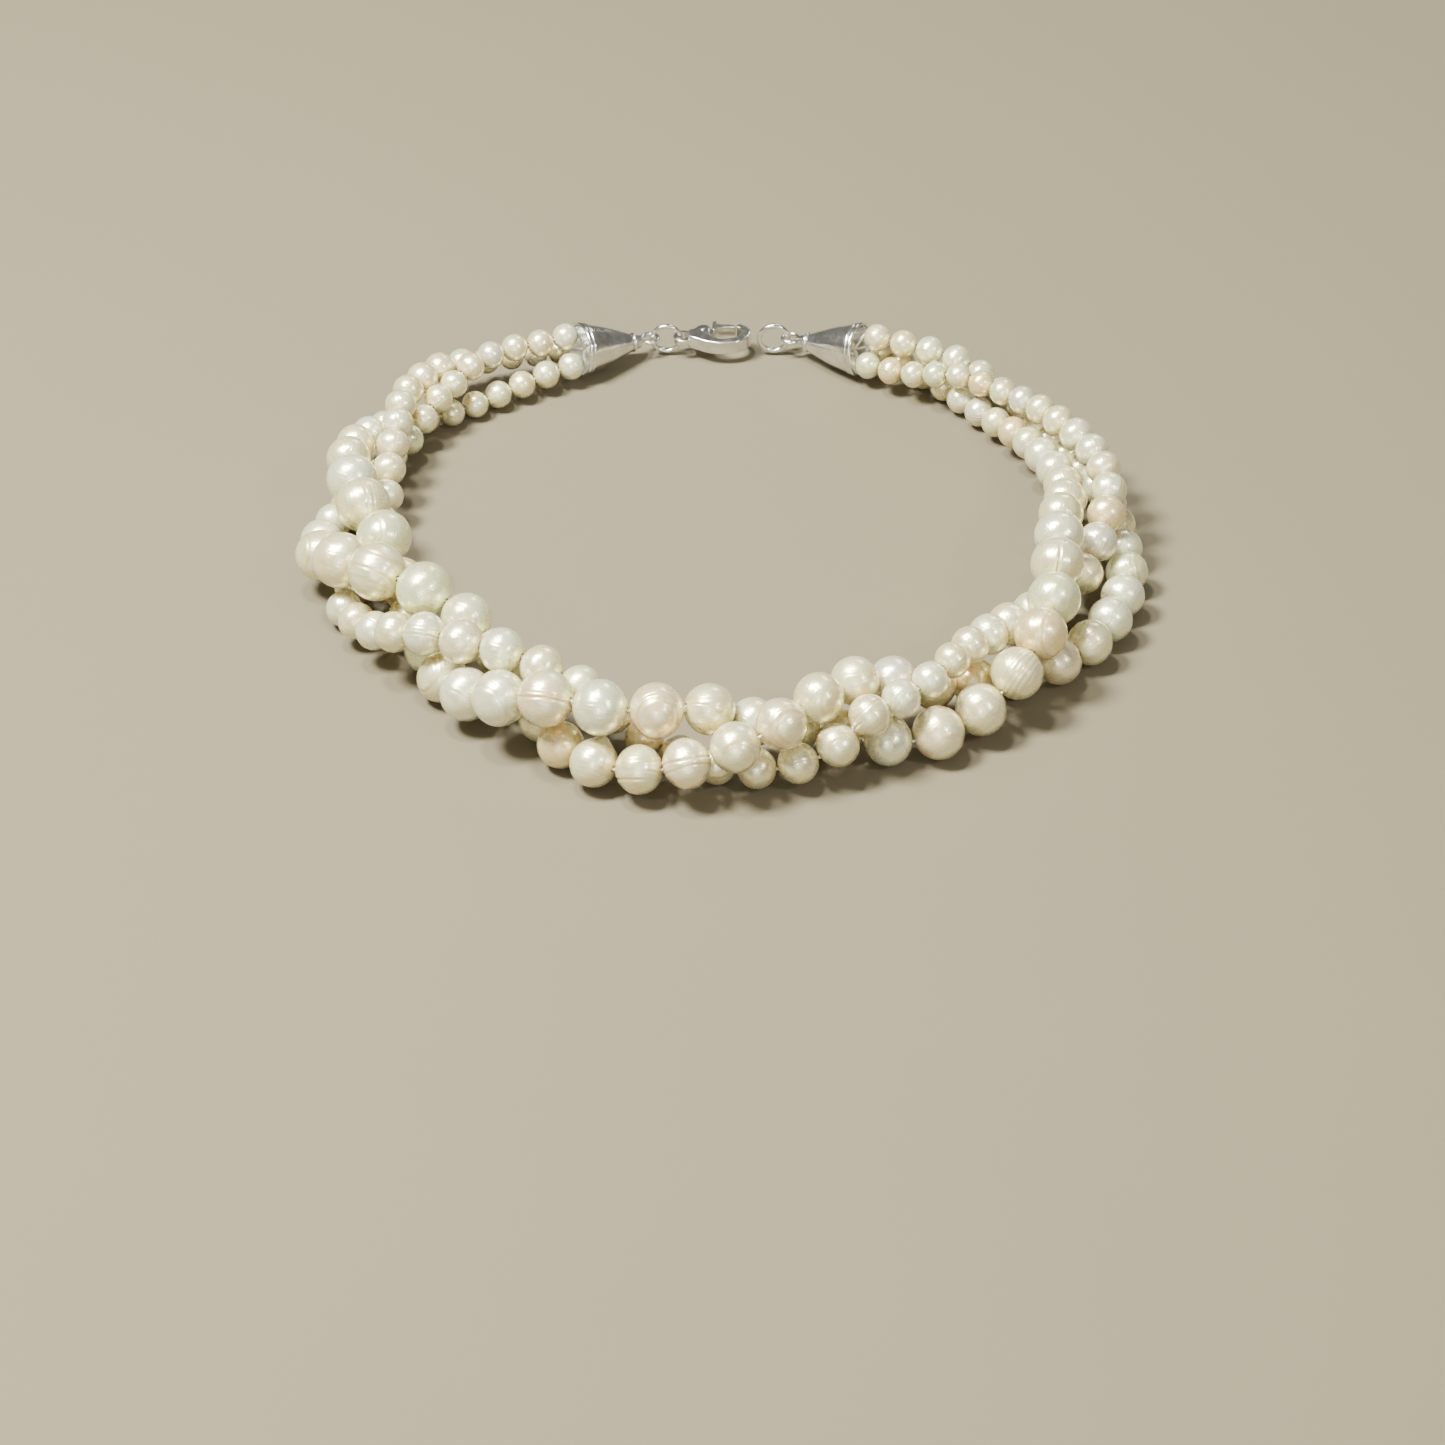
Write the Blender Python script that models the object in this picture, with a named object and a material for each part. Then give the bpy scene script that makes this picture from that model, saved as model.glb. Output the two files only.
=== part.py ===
"""Three-strand torsade necklace of freshwater pearls, closed with a lobster clasp.

Metres, +Z up. The necklace lies flat on z = 0 as a ring, the front at -Y and the clasp at +Y.
Each strand is cut into runs of pearls on their thread. One run of every strand makes one link of
the rope, and the links turn about upright axes at the rope's outer edge, so the ring opens.
"""

import math

import bmesh
import bpy
import numpy as np

MM = 0.001
SHIFT = np.array([-0.46, -9.49, 0.0])  # mm, brings the middle of the footprint to the origin

# Each strand's route: a pearl's number, then the x, y and z of its centre in mm, from the cone on
# the left, round the front, to the cone on the right. The pearls between are spaced evenly.
ROUTES = {
    "outer": [
        (0, -29.5, 71.5, 8.6), (3, -43.5, 65, 9), (5, -51, 57.5, 8), (7, -56, 48.5, 6),
        (9, -61, 38, 4), (11, -66, 28, 3.7), (13, -70.5, 17.5, 4.2), (14, -72.5, 10.5, 4.5),
        (15, -73.5, 2.5, 5.5), (16, -67.5, -4.5, 10), (18, -51.5, -18.5, 14),
        (20, -39, -31.5, 10), (22, -33.5, -44, 5), (24, -22, -57, 4.8), (26, -6.5, -60.5, 6.5),
        (28, 10, -55.5, 12.5), (30, 24.5, -45.5, 13.5), (32, 38, -37.5, 8),
        (34, 53.5, -31.5, 4.7), (36, 66, -21.5, 4.6), (38, 72, -6.5, 4.5), (40, 73, 9, 4.3),
        (42, 71.5, 22.5, 4), (44, 67, 34.5, 3.7), (46, 61.5, 44.5, 3.6), (48, 56, 53.5, 4.2),
        (50, 48.5, 61.5, 6.5), (52, 39, 67, 8.4), (54, 29.5, 71.5, 8.6),
    ],
    "middle": [
        (0, -28.4, 69.3, 4.25), (3, -42, 61, 2.8), (5, -50.5, 55, 2.6), (7, -59, 50.5, 3.5),
        (9, -65, 42, 7), (11, -68.5, 29, 10), (13, -65, 10.5, 12.5), (14, -62, 0, 12.5),
        (16, -55.5, -16, 6.5), (18, -50, -32, 4.7), (20, -37, -44.5, 8), (22, -19, -53, 13),
        (24, -0.5, -53.5, 13), (25, 8, -51.5, 9), (27, 20.5, -47, 4.4), (28, 28, -51.5, 4.4),
        (30, 44.5, -42, 5.2), (32, 55.5, -30.5, 11), (34, 60, -11, 14), (36, 62, 6.5, 13),
        (38, 63, 21, 9.5), (40, 59.5, 34.5, 7), (42, 55, 45.5, 4.8), (44, 49.5, 55, 3.2),
        (46, 42, 63.5, 2.8), (49, 30.6, 73.7, 4.25),
    ],
    "inner": [
        (0, -30.6, 73.7, 4.25), (3, -44, 69, 5.5), (5, -52.5, 62, 8), (7, -58.5, 51.5, 9.8),
        (9, -60, 40.5, 10), (11, -61, 28.5, 8), (13, -61.5, 16, 4.2), (15, -64.5, 3.5, 3.8),
        (17, -68, -9, 4.2), (19, -60.5, -20, 6), (21, -51, -29, 10.5), (23, -37, -37, 14),
        (25, -24, -44.5, 12), (27, -13, -50, 4.5), (29, -1, -56.5, 4), (31, 12.5, -57.5, 4),
        (33, 26, -50.5, 8.5), (35, 36.5, -43, 12.5), (37, 43.5, -33.5, 13), (39, 51, -21.5, 9),
        (41, 61.5, -9.5, 5.8), (43, 68.5, 3, 9.7), (45, 71, 16.5, 12), (47, 68.5, 28.5, 12),
        (49, 62.5, 40, 11), (51, 56.5, 49, 9.5), (53, 49.5, 56.5, 7.5), (55, 42, 62.5, 6),
        (58, 28.4, 69.3, 4.25),
    ],
}
STRANDS = list(ROUTES)

# The last pearl of each strand before every joint of the rope, from left to right.
CUTS = [
    (5, 5, 5), (10, 10, 10), (14, 13, 14), (17, 16, 19), (21, 19, 23), (24, 22, 26),
    (28, 25, 30), (31, 29, 35), (35, 32, 39), (38, 35, 42), (42, 38, 46), (47, 42, 51),
]
LINKS = len(CUTS) + 1
FRONT = 6  # the link in the middle of the front, which carries both halves

PEARL_GAP = 0.15  # mm between neighbours on one thread
STRAND_GAP = 0.3  # mm between pearls of different strands
GIRTH = 1.05  # a pearl's width over its length along the thread
SOLID = 0.98  # a pearl's solid over its full size, so that links keep clear of each other
BELT = 1.06  # a solid's half width over its half length, corner to corner of its outline
SHOULDER = (0.7, 0.75)  # a pearl's shoulder: its share of the half length and of the half width
THREAD_R = 0.35
THREAD_IN = 0.7  # mm that a thread's end reaches into its cone
THREAD_APART = 0.9  # and how far from the cone's line it ends
HINGE_OUT = 8.0  # mm from the middle of the rope out to its hinges

# How the pearls settle: shares of a fault that one round takes away.
HOME_ROUNDS = 0.7  # share of the rounds that also draw each pearl to its route
HOME_PULL = 0.04
CROWD_PUSH = 0.35
THREAD_PULL = 0.4

# Findings, in mm.
CONE_LENGTH = 13.0
CONE_MOUTH_R = 5.2
CONE_RIM = (1.0, 1.3, 0.25)  # the rim's width, where it has stepped down, and how far
CONE_WAIST = (0.5, 3.5)  # share of the length, and the radius there
CONE_NECK = (0.85, 1.75)
CONE_TIP_R = 1.25
CONE_WALL = 0.5
CONE_HOLE_R = 0.75
CONE_FLARE = 0.2  # the hole is this much wider at the neck
ROPE_END = (29.5, 71.5, 5.7)  # middle of the three last pearls, at the right; the left mirrors it
CONE_GAP = 2.9  # from that middle to the mouth of the cone
CONE_DIR = (-0.885, 0.443, -0.14)
WIRE_R = 0.45
EYE_R = 1.55  # middle of the wire, as in every ring radius here
EYE_CLEAR = 0.6  # from the cone's tip to the wire of the eye
HOOK_AT = 5.6  # the inner eye's middle, from the mouth of the cone
HOOK_R = 0.9
SHANK = (7.5, 9.5, 11.5, CONE_LENGTH)
KNOT_AT = 2.3
KNOT_R = 1.3
KNOT_HALF = 1.1
RING_R = 2.75
RING_WIRE_R = 0.5
RING_PLAY = 0.15  # between two wires that hang in each other
CHAIN_Z = 3.5  # the findings lie on this level
CLASP_THICK = 2.8
CLASP_EDGE = 0.4
CLASP_TAIL = (0.5, 2.0, 0.7, 1.15)  # its middle past the jump ring, radius, half thickness, hole
CLASP_SLOT = ((2.3, -0.45, -0.85), (6, 4, 0.85))  # the lever's slot, low and high corner
CLASP_PIN_R = 0.4
CLASP_PIN_HOLE_R = 0.6
LEVER_BORE_R = 0.65
LEVER_HALF = 1.1
LEVER_EDGE = 0.25
LEVER_HEAD_Z = (-0.6, 0.2)
SPRING_R = 0.8
SPRING_WIRE_R = 0.1
SPRING_Z = 0.41  # its lowest turn
SPRING_RISE = 0.021  # from each point of the coil to the next


def clear_scene():
    for obj in list(bpy.data.objects):
        bpy.data.objects.remove(obj)


def material(name, colour, roughness, metallic):
    made = bpy.data.materials.new(name)
    made.use_nodes = True
    shader = made.node_tree.nodes["Principled BSDF"]
    shader.inputs["Base Color"].default_value = (*colour, 1.0)
    shader.inputs["Roughness"].default_value = roughness
    shader.inputs["Metallic"].default_value = metallic
    return made


def empty(name, at, parent):
    """An empty on a joint's axis. at is in mm, in the necklace's own frame."""
    made = bpy.data.objects.new(name, None)
    made.empty_display_size = 4 * MM
    bpy.context.scene.collection.objects.link(made)
    made["at"] = [float(v) for v in at]
    home = np.zeros(3) if parent is None else np.array(parent["at"])
    made.parent = parent
    made.location = (np.array(at) - home) * MM
    return made


def add_node(name, points, faces, paint, holder, smooth=True):
    """One solid. Its points are in mm, and its origin sits on its holder's axis."""
    home = np.array(holder["at"])
    mesh = bpy.data.meshes.new(name)
    mesh.from_pydata([tuple((np.array(p) - home) * MM) for p in points], [], faces)
    mesh.materials.append(paint)
    shell = bmesh.new()
    shell.from_mesh(mesh)
    bmesh.ops.recalc_face_normals(shell, faces=shell.faces)
    shell.to_mesh(mesh)
    shell.free()
    mesh.polygons.foreach_set("use_smooth", [smooth] * len(mesh.polygons))
    made = bpy.data.objects.new(name, mesh)
    bpy.context.scene.collection.objects.link(made)
    made.parent = holder
    return made


# ---- Layout of the pearls ------------------------------------------------------------------


def strung(route):
    """The centres of all pearls of a strand: a smooth curve read at each pearl's number."""
    number = np.array([p[0] for p in route], float)
    place = np.array([p[1:] for p in route], float)
    slope = np.gradient(place, number, axis=0)
    at = np.arange(number[0], number[-1] + 1)
    i = np.clip(np.searchsorted(number, at, side="right") - 1, 0, len(number) - 2)
    width = (number[i + 1] - number[i])[:, None]
    t = (at - number[i])[:, None] / width
    return (
        (1 + 2 * t) * (1 - t) ** 2 * place[i]
        + t * (1 - t) ** 2 * width * slope[i]
        + t * t * (3 - 2 * t) * place[i + 1]
        + t * t * (t - 1) * width * slope[i + 1]
    )


def pearl_sizes(centres):
    """Each pearl's length on the thread, from the room it has, evened out along the strand."""
    step = np.linalg.norm(np.diff(centres, axis=0), axis=1)
    size = np.concatenate([step[:1], (step[:-1] + step[1:]) / 2, step[-1:]])
    for _ in range(2):
        padded = np.concatenate([size[:1], size, size[-1:]])
        size = (padded[:-2] + 2 * padded[1:-1] + padded[2:]) / 4
    return size - PEARL_GAP


def settle(home, size, strand, rounds=300):
    """Moves the pearls until none overlap, each touches its neighbours and none is under z = 0."""
    centre = home.copy()
    first = np.flatnonzero(strand[1:] == strand[:-1])
    length = (size[first] + size[first + 1]) / 2 + PEARL_GAP
    room = GIRTH * (size[:, None] + size[None]) / 2 + STRAND_GAP
    room[strand[:, None] == strand[None]] = 0
    for turn in range(rounds):
        if turn < HOME_ROUNDS * rounds:
            centre += HOME_PULL * (home - centre)
        apart = centre[:, None] - centre[None]
        distance = np.linalg.norm(apart, axis=2) + np.eye(len(centre))
        push = CROWD_PUSH * np.maximum(room - distance, 0) / distance
        centre += (apart * push[:, :, None]).sum(1)
        for _ in range(3):
            span = centre[first + 1] - centre[first]
            now = np.linalg.norm(span, axis=1)
            pull = THREAD_PULL * span * ((now - length) / now)[:, None]
            centre[first] += pull
            centre[first + 1] -= pull
        centre[:, 2] = np.maximum(centre[:, 2], GIRTH * size / 2)
    return centre


def lay_out():
    """{strand: (centres, lengths)} of all pearls, in mm."""
    homes = [strung(route) for route in ROUTES.values()]
    sizes = [pearl_sizes(home) for home in homes]
    strand = np.repeat(np.arange(len(homes)), [len(home) for home in homes])
    centre = settle(np.vstack(homes), np.concatenate(sizes), strand)
    return {
        name: (centre[strand == i] + SHIFT, sizes[i]) for i, name in enumerate(STRANDS)
    }


def hinge_place(pearls, cut):
    """A point on the upright axis between two links, at the rope's outer edge."""
    middle = np.zeros(3)
    along = np.zeros(3)
    for name, last in zip(STRANDS, cut):
        centre = pearls[name][0]
        middle += (centre[last] + centre[last + 1]) / 6
        along += centre[last + 1] - centre[last]
    outward = np.array([along[1], -along[0], 0]) / math.hypot(along[0], along[1])
    return middle * np.array([1, 1, 0]) + HINGE_OUT * outward


# ---- Pearl runs ----------------------------------------------------------------------------


def ring_points(at, along, radius, sides):
    side = np.cross(along, (0, 0, 1.0))
    side /= np.linalg.norm(side)
    up = np.cross(side, along)
    turn = 2 * np.pi * np.arange(sides) / sides
    return [at + radius * (math.cos(a) * side + math.sin(a) * up) for a in turn]


def loft(rings):
    """One closed skin over rings that all have the same number of points."""
    sides = len(rings[0])
    points = [p for ring in rings for p in ring]
    faces = [list(range(sides)), list(range((len(rings) - 1) * sides, len(rings) * sides))]
    for k in range(len(rings) - 1):
        for i in range(sides):
            j = (i + 1) % sides
            faces.append([k * sides + i, k * sides + j, (k + 1) * sides + j, (k + 1) * sides + i])
    return points, faces


def directions(centre):
    """The way the thread runs through each pearl."""
    along = np.gradient(centre, axis=0)
    return along / np.linalg.norm(along, axis=1)[:, None]


def pearl_rings(at, along, size, sides=8):
    """A pearl's rings round its thread: drill hole, shoulder, girth, shoulder, drill hole."""
    half = SOLID * size / 2
    far, wide = SHOULDER
    steps = [(-1.0, THREAD_R), (-far, wide * half), (0.0, BELT * half)]
    steps += [(far, wide * half), (1.0, THREAD_R)]
    return [ring_points(at + t * half * along, along, radius, sides) for t, radius in steps]


def add_run(name, centre, along, size, head, tail, paint, holder):
    """Pearls on their thread as one solid. head and tail are the thread's free ends, if any."""
    rings = []
    for at, way, length in zip(centre, along, size):
        rings += pearl_rings(at, way, length)
    if head is not None:
        way = (centre[0] - head) / np.linalg.norm(centre[0] - head)
        rings.insert(0, ring_points(head, way, THREAD_R, 8))
    if tail is not None:
        way = (tail - centre[-1]) / np.linalg.norm(tail - centre[-1])
        rings.append(ring_points(tail, way, THREAD_R, 8))
    return add_node(name, *loft(rings), paint, holder)


# ---- Findings ------------------------------------------------------------------------------


def swept(path, radius, sides=8):
    """A round wire along a path, closed at both ends."""
    path = np.array(path, float)
    along = np.gradient(path, axis=0)
    along /= np.linalg.norm(along, axis=1)[:, None]
    side = np.cross(along[0], (0.3, 0.2, 1.0))
    rings = []
    for at, way in zip(path, along):
        side -= way * side.dot(way)
        side /= np.linalg.norm(side)
        up = np.cross(way, side)
        turn = 2 * np.pi * np.arange(sides) / sides
        rings.append([at + radius * (math.cos(a) * side + math.sin(a) * up) for a in turn])
    return loft(rings)


def closed_ring(centre, u, v, radius, wire, count=20, sides=8):
    """A soldered ring in the plane of u and v."""
    centre, u, v = (np.array(x, float) for x in (centre, u, v))
    normal = np.cross(u, v)
    points = []
    for k in range(count):
        a = 2 * math.pi * k / count
        out = math.cos(a) * u + math.sin(a) * v
        for i in range(sides):
            b = 2 * math.pi * i / sides
            points.append(
                centre + out * (radius + wire * math.cos(b)) + normal * wire * math.sin(b)
            )
    faces = []
    for k in range(count):
        n = (k + 1) % count
        for i in range(sides):
            j = (i + 1) % sides
            faces.append([k * sides + i, n * sides + i, n * sides + j, k * sides + j])
    return points, faces


def lathe(profile, start, way, sides=20):
    """A profile of (distance along, radius) turned round a line. It closes on itself."""
    side = np.cross(way, (0, 0, 1.0))
    side /= np.linalg.norm(side)
    up = np.cross(side, way)
    points = []
    for t, radius in profile:
        for k in range(sides):
            a = 2 * math.pi * k / sides
            points.append(start + way * t + radius * (math.cos(a) * side + math.sin(a) * up))
    faces = []
    for k in range(len(profile)):
        n = (k + 1) % len(profile)
        for i in range(sides):
            j = (i + 1) % sides
            faces.append([k * sides + i, k * sides + j, n * sides + j, n * sides + i])
    return points, faces


def mirrored(vector, left):
    """A vector given for the right end, turned to the left end."""
    return np.array(vector, float) * (np.array([-1, 1, 1]) if left else 1)


def cone_line(left):
    """The middle of a cone's mouth, and the way from there to its tip."""
    way = np.array(CONE_DIR)
    way /= np.linalg.norm(way)
    mouth = np.array(ROPE_END) + CONE_GAP * way
    return mirrored(mouth, left) + SHIFT, mirrored(way, left)


def add_cone(name, left, paint, holder):
    start, way = cone_line(left)
    rim, step, drop = CONE_RIM
    waist, waist_r = CONE_WAIST
    neck, neck_r = CONE_NECK
    outer = [(0, CONE_MOUTH_R), (rim, CONE_MOUTH_R), (step, CONE_MOUTH_R - drop)]
    outer += [(CONE_LENGTH * waist, waist_r), (CONE_LENGTH * neck, neck_r)]
    outer += [(CONE_LENGTH, CONE_TIP_R)]
    inner = [(CONE_LENGTH, CONE_HOLE_R), (CONE_LENGTH * neck, CONE_HOLE_R + CONE_FLARE)]
    inner += [(CONE_LENGTH * waist, waist_r - CONE_WALL), (0, CONE_MOUTH_R - CONE_WALL)]
    add_node(name, *lathe(outer + inner, start, way), paint, holder)


def eye_centre(left):
    """The middle of the eye outside a cone, where the chain of findings starts."""
    start, way = cone_line(left)
    tip = start + way * (CONE_LENGTH + EYE_CLEAR)
    flat = way * np.array([1, 1, 0])
    flat /= np.linalg.norm(flat)
    return np.array([*(tip + flat * EYE_R)[:2], CHAIN_Z])


def add_eye_pin(name, left, paint, holder):
    """A pin along the cone's line: a small eye for the threads inside, a larger one outside."""
    start, way = cone_line(left)
    flat = way * np.array([1, 1, 0])
    flat /= np.linalg.norm(flat)
    across = np.array([-flat[1], flat[0], 0])
    centre = eye_centre(left)
    turns = np.radians(np.linspace(180, -125, 14))
    eye = [centre + EYE_R * (math.cos(a) * flat + math.sin(a) * across) for a in turns]
    middle = start + way * HOOK_AT + across * HOOK_R
    turns = np.radians(np.linspace(-340, -90, 9))
    hook = [middle + HOOK_R * (math.cos(a) * way + math.sin(a) * across) for a in turns]
    shank = [start + way * t for t in SHANK]
    add_node(name, *swept(hook + shank + eye, WIRE_R), paint, holder)


def add_knot(name, left, paint, holder):
    start, way = cone_line(left)
    rings = []
    for a in np.radians(range(20, 161, 28)):
        at = start + way * (KNOT_AT - KNOT_HALF * math.cos(a))
        rings.append(ring_points(at, way, KNOT_R * math.sin(a), 10))
    add_node(name, *loft(rings), paint, holder)


def chain_points():
    """The middles of the jump ring on the left and of the end ring on the right."""
    hang = np.array([EYE_R - WIRE_R - RING_WIRE_R - RING_PLAY, 0, 0])
    ring = np.array([RING_R, 0, 0])
    return eye_centre(True) + hang + ring, eye_centre(False) - hang - ring


# The clasp lies flat. Its outlines are in mm from the middle of its tail eye, the nose at +X.
CLASP_BODY = [
    (1.0, 1.0), (2.0, 1.5), (2.7, 2.4), (3.8, 2.9), (4.9, 2.5), (5.2, 1.6), (5.1, 0.3), (5.3, -0.7),
    (6.0, -1.6), (7.4, -2.1), (9.2, -1.8), (10.6, -0.9), (11.2, 0.3), (11.0, 1.5), (10.25, 2.2),
    (10.6, 3.1), (11.8, 2.6), (12.8, 1.4), (13.0, 0.0), (12.1, -2.0), (10.2, -3.2), (7.5, -3.6),
    (5.0, -3.3), (2.8, -2.2), (1.0, -1.0),
]
LEVER_HEAD = [
    (4.6, 0.5), (3.7, 0.2), (2.9, 0.6), (2.7, 1.3), (3.0, 2.0), (3.7, 2.3), (4.9, 2.9), (6.0, 3.0),
    (6.0, 1.7), (5.3, 1.2),
]
LEVER_ARM = [
    (5.6, 1.5), (5.6, 4.1), (6.1, 4.5), (6.6, 4.2), (6.8, 3.5), (8.4, 3.4), (9.9, 3.0), (9.9, 2.35),
    (8.4, 2.4), (6.9, 2.1),
]
LEVER_PIN = (3.7, 1.2)


def extruded(outline, low, high):
    points = [(x, y, z) for z in (low, high) for x, y in outline]
    count = len(outline)
    faces = [list(range(count)), list(range(count, 2 * count))]
    for i in range(count):
        j = (i + 1) % count
        faces.append([i, j, count + j, count + i])
    return points, faces


def disc(x, y, radius, sides=20):
    turn = [2 * math.pi * k / sides for k in range(sides)]
    return [(x + radius * math.cos(a), y + radius * math.sin(a)) for a in turn]


def box(low, high):
    return extruded([(low[0], low[1]), (high[0], low[1]), (high[0], high[1]), (low[0], high[1])],
                    low[2], high[2])


def helper(name, solid, at, paint, holder):
    """A cutter or a piece to be joined on. It is not a node."""
    made = add_node(name, [at + np.array(p) for p in solid[0]], solid[1], paint, holder)
    made.hide_render = True
    made.display_type = "WIRE"
    return made


def combine(target, other, operation):
    step = target.modifiers.new(other.name, "BOOLEAN")
    step.operation = operation
    step.solver = "EXACT"
    step.object = other


def bevel(target, width):
    step = target.modifiers.new("edges", "BEVEL")
    step.width = width * MM
    step.segments = 2
    step.limit_method = "ANGLE"
    step.angle_limit = math.radians(50)


def add_clasp(at, paint, body, lever):
    """The claw, its lever, the pin that the lever turns on and the spring that shuts it."""
    half = CLASP_THICK / 2
    deep = 2 * half  # of a cutter, past both faces
    _, tail_r, tail_half, tail_hole = CLASP_TAIL

    def placed(solid):
        return [at + np.array(p) for p in solid[0]], solid[1]

    claw = add_node("clasp_body", *placed(extruded(CLASP_BODY, -half, half)), paint, body, False)
    bevel(claw, CLASP_EDGE)
    tail = helper("clasp_tail_blank", extruded(disc(0, 0, tail_r), -tail_half, tail_half), at, paint, body)
    combine(claw, tail, "UNION")
    for name, solid in (
        ("clasp_tail_hole", extruded(disc(0, 0, tail_hole), -deep, deep)),
        ("clasp_slot", box(*CLASP_SLOT)),
        ("clasp_pin_hole", extruded(disc(*LEVER_PIN, CLASP_PIN_HOLE_R, 12), -deep, deep)),
    ):
        combine(claw, helper(name, solid, at, paint, body), "DIFFERENCE")

    arm = extruded(LEVER_ARM, -LEVER_HALF, LEVER_HALF)
    gate = add_node("clasp_lever", *placed(arm), paint, lever, False)
    bevel(gate, LEVER_EDGE)
    head = helper("lever_head_blank", extruded(LEVER_HEAD, *LEVER_HEAD_Z), at, paint, lever)
    combine(gate, head, "UNION")
    bore = extruded(disc(*LEVER_PIN, LEVER_BORE_R, 12), -deep, deep)
    combine(gate, helper("lever_pin_hole", bore, at, paint, lever), "DIFFERENCE")

    pin = extruded(disc(*LEVER_PIN, CLASP_PIN_R, 12), -half - 0.1, half + 0.1)
    add_node("clasp_pin", *placed(pin), paint, body)
    coil = []
    for k, a in enumerate(np.radians(np.linspace(-150, 300, 16))):
        round_pin = SPRING_R * math.cos(a), SPRING_R * math.sin(a), SPRING_Z + SPRING_RISE * k
        coil.append(at + (*LEVER_PIN, 0) + round_pin)
    add_node("clasp_spring", *swept(coil, SPRING_WIRE_R, 6), paint, body)


def add_rope(pearls, holders, paint):
    """Every link's three runs of pearls. The first and the last ones reach into the cones."""
    for name in STRANDS:
        centre, size = pearls[name]
        along = directions(centre)
        last = [cut[STRANDS.index(name)] for cut in CUTS] + [len(centre) - 1]
        first = [0] + [k + 1 for k in last[:-1]]
        for link, (a, b) in enumerate(zip(first, last)):
            head = thread_end(centre[0], True) if link == 0 else None
            tail = thread_end(centre[-1], False) if link == LINKS - 1 else None
            part = slice(a, b + 1)
            add_run(
                f"{name}_run_{link + 1:02d}",
                centre[part], along[part], size[part], head, tail, paint, holders[link],
            )


def thread_end(pearl, left):
    """Where a strand's thread ends in front of the knot inside a cone."""
    start, way = cone_line(left)
    radial = pearl - start
    radial -= way * radial.dot(way)
    return start + way * THREAD_IN + THREAD_APART * radial / np.linalg.norm(radial)


def main():
    clear_scene()
    nacre = material("pearl", (0.86, 0.80, 0.70), 0.22, 0.0)
    silver = material("silver", (0.80, 0.79, 0.77), 0.22, 1.0)
    silk = material("silk", (0.90, 0.87, 0.80), 0.8, 0.0)
    pearls = lay_out()

    hinges = [hinge_place(pearls, cut) for cut in CUTS]
    holders = {FRONT: empty("front_link", (0, 0, 0), None)}
    for k in range(FRONT - 1, -1, -1):
        holders[k] = empty(f"hinge_left_{FRONT - k}", hinges[k], holders[k + 1])
    for k in range(FRONT + 1, LINKS):
        holders[k] = empty(f"hinge_right_{k - FRONT}", hinges[k - 1], holders[k - 1])
    add_rope(pearls, holders, nacre)

    for left, side, link in ((True, "left", 0), (False, "right", LINKS - 1)):
        mouth, way = cone_line(left)
        outward = np.array([-abs(way[1]) if left else abs(way[1]), abs(way[0]), 0])
        rim = mouth * np.array([1, 1, 0]) + HINGE_OUT * outward / np.linalg.norm(outward)
        cone = empty(f"hinge_cone_{side}", rim, holders[link])
        add_cone(f"end_cone_{side}", left, silver, cone)
        add_eye_pin(f"eye_pin_{side}", left, silver, cone)
        add_knot(f"thread_knot_{side}", left, silk, cone)
        holders[f"cone_{side}"] = cone

    jump, end = chain_points()
    up = (0, 0, 1)
    swing = empty("hinge_jump_ring", jump - (RING_R, 0, 0), holders["cone_left"])
    add_node("jump_ring", *closed_ring(jump, (1, 0, 0), up, RING_R, RING_WIRE_R), silver, swing)
    loop = empty("hinge_end_ring", end + (RING_R, 0, 0), holders["cone_right"])
    add_node("end_ring", *closed_ring(end, (1, 0, 0), up, RING_R, RING_WIRE_R), silver, loop)

    hang = jump + (RING_R, 0, 0)
    tail = hang + (CLASP_TAIL[0], 0, 0)
    body = empty("hinge_clasp", hang, swing)
    lever = empty("hinge_lever", tail + (*LEVER_PIN, 0), body)
    add_clasp(tail, silver, body, lever)


main()
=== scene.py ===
import math

import bpy
import numpy as np
from mathutils import Matrix


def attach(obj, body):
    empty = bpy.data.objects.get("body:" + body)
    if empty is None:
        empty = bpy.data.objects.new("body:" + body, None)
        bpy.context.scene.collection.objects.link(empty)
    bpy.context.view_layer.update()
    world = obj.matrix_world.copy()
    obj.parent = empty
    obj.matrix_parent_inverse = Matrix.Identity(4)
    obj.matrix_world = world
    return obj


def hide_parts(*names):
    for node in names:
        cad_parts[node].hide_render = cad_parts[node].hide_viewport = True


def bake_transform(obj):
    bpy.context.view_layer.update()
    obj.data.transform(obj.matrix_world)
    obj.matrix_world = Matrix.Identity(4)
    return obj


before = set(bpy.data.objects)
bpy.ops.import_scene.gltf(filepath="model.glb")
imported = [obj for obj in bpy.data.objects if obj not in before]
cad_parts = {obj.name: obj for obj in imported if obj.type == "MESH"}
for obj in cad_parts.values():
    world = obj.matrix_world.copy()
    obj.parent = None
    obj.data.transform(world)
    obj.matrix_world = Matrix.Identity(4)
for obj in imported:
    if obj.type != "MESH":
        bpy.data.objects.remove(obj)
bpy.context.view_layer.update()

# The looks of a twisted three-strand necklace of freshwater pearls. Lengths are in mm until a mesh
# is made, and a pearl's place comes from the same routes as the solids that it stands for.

MM = 0.001
SHIFT = np.array([-0.46, -9.49, 0.0])  # mm, brings the middle of the footprint to the origin

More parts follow.
